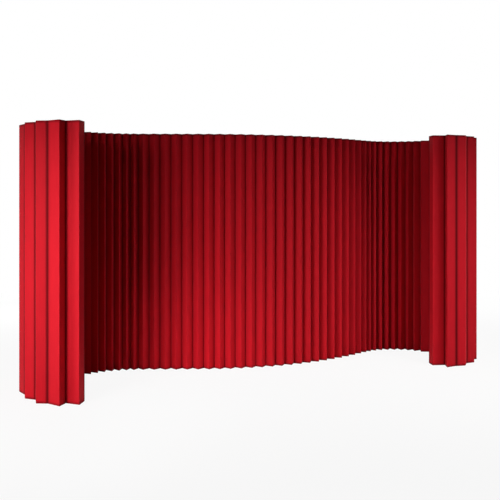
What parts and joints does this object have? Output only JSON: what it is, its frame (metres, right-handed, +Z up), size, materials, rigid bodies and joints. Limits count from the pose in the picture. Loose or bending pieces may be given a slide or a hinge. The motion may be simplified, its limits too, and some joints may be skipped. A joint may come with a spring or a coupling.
{
  "type": "accordion partition",
  "caption": "Free-standing pleated room divider: one long folding sheet of upright leaves drawn out into an S, both ends curled to the front.",
  "frame": {"origin": "on the floor, under the middle of the drawn-out plan", "axes": "+X along the wall to the viewer's right, +Y away from the viewer, +Z up; both ends curl towards -Y"},
  "size_m": [3.4034, 1.742, 1.8],
  "materials": {
    "leaf_textile": "matte stiffened nonwoven textile over a thin board",
    "link_textile": "matte nonwoven textile, folded",
    "end_textile": "matte nonwoven textile over a thicker board"
  },
  "bodies": {
    "middle_leaf": {"middle_leaf": "leaf_textile", "left_link_leaves": "link_textile", "right_link_leaves": "link_textile"},
    "left_leaf_1": {"left_leaf_1": "leaf_textile"},
    "left_leaf_2": {"left_leaf_2": "leaf_textile"},
    "left_leaf_3": {"left_leaf_3": "leaf_textile"},
    "left_leaf_4": {"left_leaf_4": "leaf_textile"},
    "left_leaf_5": {"left_leaf_5": "leaf_textile"},
    "left_leaf_6": {"left_leaf_6": "leaf_textile"},
    "left_leaf_7": {"left_leaf_7": "leaf_textile"},
    "left_leaf_8": {"left_leaf_8": "leaf_textile"},
    "left_leaf_9": {"left_leaf_9": "leaf_textile"},
    "left_leaf_10": {"left_leaf_10": "leaf_textile"},
    "left_leaf_11": {"left_leaf_11": "leaf_textile"},
    "left_leaf_12": {"left_leaf_12": "leaf_textile"},
    "left_leaf_13": {"left_leaf_13": "leaf_textile"},
    "left_leaf_14": {"left_leaf_14": "leaf_textile"},
    "left_leaf_15": {"left_leaf_15": "leaf_textile"},
    "left_leaf_16": {"left_leaf_16": "leaf_textile"},
    "left_leaf_17": {"left_leaf_17": "leaf_textile"},
    "left_leaf_18": {"left_leaf_18": "leaf_textile"},
    "left_leaf_19": {"left_leaf_19": "leaf_textile"},
    "left_leaf_20": {"left_leaf_20": "leaf_textile"},
    "left_leaf_21": {"left_leaf_21": "leaf_textile"},
    "left_leaf_22": {"left_leaf_22": "leaf_textile"},
    "left_leaf_23": {"left_leaf_23": "leaf_textile"},
    "left_leaf_24": {"left_leaf_24": "leaf_textile"},
    "left_leaf_25": {"left_leaf_25": "leaf_textile"},
    "left_leaf_26": {"left_leaf_26": "leaf_textile"},
    "left_leaf_27": {"left_leaf_27": "leaf_textile"},
    "left_end_board": {"left_end_board": "end_textile"},
    "right_leaf_1": {"right_leaf_1": "leaf_textile"},
    "right_leaf_2": {"right_leaf_2": "leaf_textile"},
    "right_leaf_3": {"right_leaf_3": "leaf_textile"},
    "right_leaf_4": {"right_leaf_4": "leaf_textile"},
    "right_leaf_5": {"right_leaf_5": "leaf_textile"},
    "right_leaf_6": {"right_leaf_6": "leaf_textile"},
    "right_leaf_7": {"right_leaf_7": "leaf_textile"},
    "right_leaf_8": {"right_leaf_8": "leaf_textile"},
    "right_leaf_9": {"right_leaf_9": "leaf_textile"},
    "right_leaf_10": {"right_leaf_10": "leaf_textile"},
    "right_leaf_11": {"right_leaf_11": "leaf_textile"},
    "right_leaf_12": {"right_leaf_12": "leaf_textile"},
    "right_leaf_13": {"right_leaf_13": "leaf_textile"},
    "right_leaf_14": {"right_leaf_14": "leaf_textile"},
    "right_leaf_15": {"right_leaf_15": "leaf_textile"},
    "right_leaf_16": {"right_leaf_16": "leaf_textile"},
    "right_leaf_17": {"right_leaf_17": "leaf_textile"},
    "right_leaf_18": {"right_leaf_18": "leaf_textile"},
    "right_leaf_19": {"right_leaf_19": "leaf_textile"},
    "right_leaf_20": {"right_leaf_20": "leaf_textile"},
    "right_leaf_21": {"right_leaf_21": "leaf_textile"},
    "right_leaf_22": {"right_leaf_22": "leaf_textile"},
    "right_leaf_23": {"right_leaf_23": "leaf_textile"},
    "right_leaf_24": {"right_leaf_24": "leaf_textile"},
    "right_leaf_25": {"right_leaf_25": "leaf_textile"},
    "right_leaf_26": {"right_leaf_26": "leaf_textile"},
    "right_leaf_27": {"right_leaf_27": "leaf_textile"},
    "right_leaf_28": {"right_leaf_28": "leaf_textile"},
    "right_end_board": {"right_end_board": "end_textile"}
  },
  "joints": [
    {"name": "left_leaf_1_fold", "type": "hinge", "parent": "middle_leaf", "child": "left_leaf_1", "pos_m": [-0.57935, 1.88258, 0], "axis": [0, 0, 1], "range_deg": [0, 2.6]},
    {"name": "left_leaf_2_fold", "type": "hinge", "parent": "left_leaf_1", "child": "left_leaf_2", "pos_m": [-0.58277, 1.88424, 0], "axis": [0, 0, 1], "range_deg": [0, 2.6]},
    {"name": "left_leaf_3_fold", "type": "hinge", "parent": "left_leaf_2", "child": "left_leaf_3", "pos_m": [-0.58611, 1.88605, 0], "axis": [0, 0, 1], "range_deg": [0, 2.6]},
    {"name": "left_leaf_4_fold", "type": "hinge", "parent": "left_leaf_3", "child": "left_leaf_4", "pos_m": [-0.58937, 1.88801, 0], "axis": [0, 0, 1], "range_deg": [0, 2.6]},
    {"name": "left_leaf_5_fold", "type": "hinge", "parent": "left_leaf_4", "child": "left_leaf_5", "pos_m": [-0.59253, 1.89011, 0], "axis": [0, 0, 1], "range_deg": [0, 2.6]},
    {"name": "left_leaf_6_fold", "type": "hinge", "parent": "left_leaf_5", "child": "left_leaf_6", "pos_m": [-0.5956, 1.89235, 0], "axis": [0, 0, 1], "range_deg": [0, 2.6]},
    {"name": "left_leaf_7_fold", "type": "hinge", "parent": "left_leaf_6", "child": "left_leaf_7", "pos_m": [-0.57665, 1.59786, 0], "axis": [0, 0, 1], "range_deg": [0, 3.13]},
    {"name": "left_leaf_8_shift", "type": "slide", "parent": "left_leaf_7", "child": "left_leaf_8", "axis": [0.9982, 0.0597, 0], "range_m": [0, 0.0823]},
    {"name": "left_leaf_9_shift", "type": "slide", "parent": "left_leaf_8", "child": "left_leaf_9", "axis": [0.9983, 0.0583, 0], "range_m": [0, 0.08243]},
    {"name": "left_leaf_10_shift", "type": "slide", "parent": "left_leaf_9", "child": "left_leaf_10", "axis": [0.9983, 0.0583, 0], "range_m": [0, 0.08243]},
    {"name": "left_leaf_11_shift", "type": "slide", "parent": "left_leaf_10", "child": "left_leaf_11", "axis": [0.9983, 0.0583, 0], "range_m": [0, 0.08243]},
    {"name": "left_leaf_12_shift", "type": "slide", "parent": "left_leaf_11", "child": "left_leaf_12", "axis": [0.9983, 0.0583, 0], "range_m": [0, 0.08243]},
    {"name": "left_leaf_13_fold", "type": "hinge", "parent": "left_leaf_12", "child": "left_leaf_13", "pos_m": [-0.94612, -0.14985, 0], "axis": [0, 0, -1], "range_deg": [0, 16.34]},
    {"name": "left_leaf_14_fold", "type": "hinge", "parent": "left_leaf_13", "child": "left_leaf_14", "pos_m": [-0.98289, -0.31218, 0], "axis": [0, 0, -1], "range_deg": [0, 7.49]},
    {"name": "left_leaf_15_fold", "type": "hinge", "parent": "left_leaf_14", "child": "left_leaf_15", "pos_m": [-0.9763, -0.37001, 0], "axis": [0, 0, -1], "range_deg": [0, 6.51]},
    {"name": "left_leaf_16_fold", "type": "hinge", "parent": "left_leaf_15", "child": "left_leaf_16", "pos_m": [-0.98002, -0.36923, 0], "axis": [0, 0, -1], "range_deg": [0, 6.51]},
    {"name": "left_leaf_17_fold", "type": "hinge", "parent": "left_leaf_16", "child": "left_leaf_17", "pos_m": [-0.9838, -0.36886, 0], "axis": [0, 0, -1], "range_deg": [0, 6.51]},
    {"name": "left_leaf_18_fold", "type": "hinge", "parent": "left_leaf_17", "child": "left_leaf_18", "pos_m": [-0.9876, -0.36892, 0], "axis": [0, 0, -1], "range_deg": [0, 6.51]},
    {"name": "left_leaf_19_fold", "type": "hinge", "parent": "left_leaf_18", "child": "left_leaf_19", "pos_m": [-0.99137, -0.36941, 0], "axis": [0, 0, -1], "range_deg": [0, 6.51]},
    {"name": "left_leaf_20_fold", "type": "hinge", "parent": "left_leaf_19", "child": "left_leaf_20", "pos_m": [-1.48891, 0.12131, 0], "axis": [0, 0, 1], "range_deg": [0, 18.22]},
    {"name": "left_leaf_21_fold", "type": "hinge", "parent": "left_leaf_20", "child": "left_leaf_21", "pos_m": [-6.88668, 4.78299, 0], "axis": [0, 0, 1], "range_deg": [0, 1.03]},
    {"name": "left_leaf_22_shift", "type": "slide", "parent": "left_leaf_21", "child": "left_leaf_22", "axis": [0.6713, 0.7412, 0], "range_m": [0, 0.12979]},
    {"name": "left_leaf_23_fold", "type": "hinge", "parent": "left_leaf_22", "child": "left_leaf_23", "pos_m": [-2.28193, 0.31913, 0], "axis": [0, 0, 1], "range_deg": [0, 8.13]},
    {"name": "left_leaf_24_fold", "type": "hinge", "parent": "left_leaf_23", "child": "left_leaf_24", "pos_m": [-1.46507, -0.47322, 0], "axis": [0, 0, -1], "range_deg": [0, 51.28]},
    {"name": "left_leaf_25_fold", "type": "hinge", "parent": "left_leaf_24", "child": "left_leaf_25", "pos_m": [-1.36192, -0.44842, 0], "axis": [0, 0, -1], "range_deg": [0, 31.84]},
    {"name": "left_leaf_26_fold", "type": "hinge", "parent": "left_leaf_25", "child": "left_leaf_26", "pos_m": [-1.19075, -0.38269, 0], "axis": [0, 0, -1], "range_deg": [0, 17.34]},
    {"name": "left_leaf_27_fold", "type": "hinge", "parent": "left_leaf_26", "child": "left_leaf_27", "pos_m": [-1.39517, -0.71003, 0], "axis": [0, 0, -1], "range_deg": [0, 77.06]},
    {"name": "left_end_board_fold", "type": "hinge", "parent": "left_leaf_27", "child": "left_end_board", "pos_m": [-1.62972, -0.17002, 0], "axis": [0, 0, -1], "range_deg": [0, 10.07]},
    {"name": "fold", "type": "hinge", "parent": "middle_leaf", "child": "right_leaf_1", "pos_m": [0.05789, 0.25024, 0], "axis": [0, 0, -1], "range_deg": [0, 85.4], "deforming": ["left_link_leaves", "right_link_leaves"]},
    {"name": "right_leaf_2_fold", "type": "hinge", "parent": "right_leaf_1", "child": "right_leaf_2", "pos_m": [-0.46767, 1.92189, 0], "axis": [0, 0, -1], "range_deg": [0, 2.6]},
    {"name": "right_leaf_3_fold", "type": "hinge", "parent": "right_leaf_2", "child": "right_leaf_3", "pos_m": [-0.46605, 1.92532, 0], "axis": [0, 0, -1], "range_deg": [0, 2.6]},
    {"name": "right_leaf_4_fold", "type": "hinge", "parent": "right_leaf_3", "child": "right_leaf_4", "pos_m": [-0.46458, 1.92883, 0], "axis": [0, 0, -1], "range_deg": [0, 2.6]},
    {"name": "right_leaf_5_fold", "type": "hinge", "parent": "right_leaf_4", "child": "right_leaf_5", "pos_m": [-0.46326, 1.93239, 0], "axis": [0, 0, -1], "range_deg": [0, 2.6]},
    {"name": "right_leaf_6_fold", "type": "hinge", "parent": "right_leaf_5", "child": "right_leaf_6", "pos_m": [-0.46211, 1.93601, 0], "axis": [0, 0, -1], "range_deg": [0, 2.6]},
    {"name": "right_leaf_7_fold", "type": "hinge", "parent": "right_leaf_6", "child": "right_leaf_7", "pos_m": [-0.46112, 1.93968, 0], "axis": [0, 0, -1], "range_deg": [0, 2.6]},
    {"name": "right_leaf_8_fold", "type": "hinge", "parent": "right_leaf_7", "child": "right_leaf_8", "pos_m": [-0.46029, 1.94339, 0], "axis": [0, 0, -1], "range_deg": [0, 2.6]},
    {"name": "right_leaf_9_fold", "type": "hinge", "parent": "right_leaf_8", "child": "right_leaf_9", "pos_m": [-0.45964, 1.94713, 0], "axis": [0, 0, -1], "range_deg": [0, 2.6]},
    {"name": "right_leaf_10_fold", "type": "hinge", "parent": "right_leaf_9", "child": "right_leaf_10", "pos_m": [-0.45914, 1.9509, 0], "axis": [0, 0, -1], "range_deg": [0, 2.6]},
    {"name": "right_leaf_11_fold", "type": "hinge", "parent": "right_leaf_10", "child": "right_leaf_11", "pos_m": [-0.45882, 1.95469, 0], "axis": [0, 0, -1], "range_deg": [0, 2.6]},
    {"name": "right_leaf_12_fold", "type": "hinge", "parent": "right_leaf_11", "child": "right_leaf_12", "pos_m": [1.02828, 0.44509, 0], "axis": [0, 0, 1], "range_deg": [0, 12.14]},
    {"name": "right_leaf_13_fold", "type": "hinge", "parent": "right_leaf_12", "child": "right_leaf_13", "pos_m": [1.05124, 0.49327, 0], "axis": [0, 0, 1], "range_deg": [0, 10.12]},
    {"name": "right_leaf_14_fold", "type": "hinge", "parent": "right_leaf_13", "child": "right_leaf_14", "pos_m": [1.06967, 0.47393, 0], "axis": [0, 0, 1], "range_deg": [0, 9.27]},
    {"name": "right_leaf_15_fold", "type": "hinge", "parent": "right_leaf_14", "child": "right_leaf_15", "pos_m": [1.07177, 0.4771, 0], "axis": [0, 0, 1], "range_deg": [0, 9.27]},
    {"name": "right_leaf_16_fold", "type": "hinge", "parent": "right_leaf_15", "child": "right_leaf_16", "pos_m": [1.07434, 0.47989, 0], "axis": [0, 0, 1], "range_deg": [0, 9.27]},
    {"name": "right_leaf_17_fold", "type": "hinge", "parent": "right_leaf_16", "child": "right_leaf_17", "pos_m": [1.07733, 0.48224, 0], "axis": [0, 0, 1], "range_deg": [0, 9.27]},
    {"name": "right_leaf_18_fold", "type": "hinge", "parent": "right_leaf_17", "child": "right_leaf_18", "pos_m": [1.08065, 0.48409, 0], "axis": [0, 0, 1], "range_deg": [0, 9.27]},
    {"name": "right_leaf_19_fold", "type": "hinge", "parent": "right_leaf_18", "child": "right_leaf_19", "pos_m": [1.08422, 0.48538, 0], "axis": [0, 0, 1], "range_deg": [0, 9.27]},
    {"name": "right_leaf_20_fold", "type": "hinge", "parent": "right_leaf_19", "child": "right_leaf_20", "pos_m": [1.08796, 0.48609, 0], "axis": [0, 0, 1], "range_deg": [0, 9.27]},
    {"name": "right_leaf_21_fold", "type": "hinge", "parent": "right_leaf_20", "child": "right_leaf_21", "pos_m": [1.09134, 0.48553, 0], "axis": [0, 0, 1], "range_deg": [0, 9.25]},
    {"name": "right_leaf_22_fold", "type": "hinge", "parent": "right_leaf_21", "child": "right_leaf_22", "pos_m": [1.59362, 0.96201, 0], "axis": [0, 0, -1], "range_deg": [0, 21.55]},
    {"name": "right_leaf_23_shift", "type": "slide", "parent": "right_leaf_22", "child": "right_leaf_23", "axis": [-0.7566, 0.6539, 0], "range_m": [0, 0.13257]},
    {"name": "right_leaf_24_fold", "type": "hinge", "parent": "right_leaf_23", "child": "right_leaf_24", "pos_m": [0.06346, -1.11984, 0], "axis": [0, 0, 1], "range_deg": [0, 3.33]},
    {"name": "right_leaf_25_fold", "type": "hinge", "parent": "right_leaf_24", "child": "right_leaf_25", "pos_m": [1.58925, 0.44911, 0], "axis": [0, 0, 1], "range_deg": [0, 72.23]},
    {"name": "right_leaf_26_fold", "type": "hinge", "parent": "right_leaf_25", "child": "right_leaf_26", "pos_m": [0.16094, 1.15208, 0], "axis": [0, 0, 1], "range_deg": [0, 4.42]},
    {"name": "right_leaf_27_fold", "type": "hinge", "parent": "right_leaf_26", "child": "right_leaf_27", "pos_m": [0.97666, 0.92124, 0], "axis": [0, 0, 1], "range_deg": [0, 9.99]},
    {"name": "right_leaf_28_fold", "type": "hinge", "parent": "right_leaf_27", "child": "right_leaf_28", "pos_m": [1.44748, 0.26615, 0], "axis": [0, 0, 1], "range_deg": [0, 109.4]},
    {"name": "right_end_board_fold", "type": "hinge", "parent": "right_leaf_28", "child": "right_end_board", "pos_m": [0.84394, -0.28624, 0], "axis": [0, 0, -1], "range_deg": [0, 10.52]}
  ],
  "couplings": [
    {"joint": "left_leaf_1_fold", "follows": "fold", "ratio": 0.029903},
    {"joint": "left_leaf_2_fold", "follows": "fold", "ratio": 0.029903},
    {"joint": "left_leaf_3_fold", "follows": "fold", "ratio": 0.029903},
    {"joint": "left_leaf_4_fold", "follows": "fold", "ratio": 0.029903},
    {"joint": "left_leaf_5_fold", "follows": "fold", "ratio": 0.029903},
    {"joint": "left_leaf_6_fold", "follows": "fold", "ratio": 0.029903},
    {"joint": "left_leaf_7_fold", "follows": "fold", "ratio": 0.035987},
    {"joint": "left_leaf_8_shift", "follows": "fold", "m_per_rad": 0.054299},
    {"joint": "left_leaf_9_shift", "follows": "fold", "m_per_rad": 0.054381},
    {"joint": "left_leaf_10_shift", "follows": "fold", "m_per_rad": 0.054381},
    {"joint": "left_leaf_11_shift", "follows": "fold", "m_per_rad": 0.054381},
    {"joint": "left_leaf_12_shift", "follows": "fold", "m_per_rad": 0.054381},
    {"joint": "left_leaf_13_fold", "follows": "fold", "ratio": 0.18904},
    {"joint": "left_leaf_14_fold", "follows": "fold", "ratio": 0.086491},
    {"joint": "left_leaf_15_fold", "follows": "fold", "ratio": 0.075221},
    {"joint": "left_leaf_16_fold", "follows": "fold", "ratio": 0.075221},
    {"joint": "left_leaf_17_fold", "follows": "fold", "ratio": 0.075221},
    {"joint": "left_leaf_18_fold", "follows": "fold", "ratio": 0.075221},
    {"joint": "left_leaf_19_fold", "follows": "fold", "ratio": 0.075221},
    {"joint": "left_leaf_20_fold", "follows": "fold", "ratio": 0.21088},
    {"joint": "left_leaf_21_fold", "follows": "fold", "ratio": 0.011656},
    {"joint": "left_leaf_22_shift", "follows": "fold", "m_per_rad": 0.085824},
    {"joint": "left_leaf_23_fold", "follows": "fold", "ratio": 0.093995},
    {"joint": "left_leaf_24_fold", "follows": "fold", "ratio": 0.59381},
    {"joint": "left_leaf_25_fold", "follows": "fold", "ratio": 0.36858},
    {"joint": "left_leaf_26_fold", "follows": "fold", "ratio": 0.20068},
    {"joint": "left_leaf_27_fold", "follows": "fold", "ratio": 0.89252},
    {"joint": "left_end_board_fold", "follows": "fold", "ratio": 0.11642},
    {"joint": "right_leaf_2_fold", "follows": "fold", "ratio": 0.029903},
    {"joint": "right_leaf_3_fold", "follows": "fold", "ratio": 0.029903},
    {"joint": "right_leaf_4_fold", "follows": "fold", "ratio": 0.029903},
    {"joint": "right_leaf_5_fold", "follows": "fold", "ratio": 0.029903},
    {"joint": "right_leaf_6_fold", "follows": "fold", "ratio": 0.029903},
    {"joint": "right_leaf_7_fold", "follows": "fold", "ratio": 0.029903},
    {"joint": "right_leaf_8_fold", "follows": "fold", "ratio": 0.029903},
    {"joint": "right_leaf_9_fold", "follows": "fold", "ratio": 0.029903},
    {"joint": "right_leaf_10_fold", "follows": "fold", "ratio": 0.029903},
    {"joint": "right_leaf_11_fold", "follows": "fold", "ratio": 0.029903},
    {"joint": "right_leaf_12_fold", "follows": "fold", "ratio": 0.1404},
    {"joint": "right_leaf_13_fold", "follows": "fold", "ratio": 0.11704},
    {"joint": "right_leaf_14_fold", "follows": "fold", "ratio": 0.10716},
    {"joint": "right_leaf_15_fold", "follows": "fold", "ratio": 0.10716},
    {"joint": "right_leaf_16_fold", "follows": "fold", "ratio": 0.10716},
    {"joint": "right_leaf_17_fold", "follows": "fold", "ratio": 0.10716},
    {"joint": "right_leaf_18_fold", "follows": "fold", "ratio": 0.10716},
    {"joint": "right_leaf_19_fold", "follows": "fold", "ratio": 0.10716},
    {"joint": "right_leaf_20_fold", "follows": "fold", "ratio": 0.10716},
    {"joint": "right_leaf_21_fold", "follows": "fold", "ratio": 0.10694},
    {"joint": "right_leaf_22_fold", "follows": "fold", "ratio": 0.24943},
    {"joint": "right_leaf_23_shift", "follows": "fold", "m_per_rad": 0.087666},
    {"joint": "right_leaf_24_fold", "follows": "fold", "ratio": 0.038364},
    {"joint": "right_leaf_25_fold", "follows": "fold", "ratio": 0.83654},
    {"joint": "right_leaf_26_fold", "follows": "fold", "ratio": 0.050969},
    {"joint": "right_leaf_27_fold", "follows": "fold", "ratio": 0.11552},
    {"joint": "right_leaf_28_fold", "follows": "fold", "ratio": 1.2672},
    {"joint": "right_end_board_fold", "follows": "fold", "ratio": 0.12168}
  ]
}
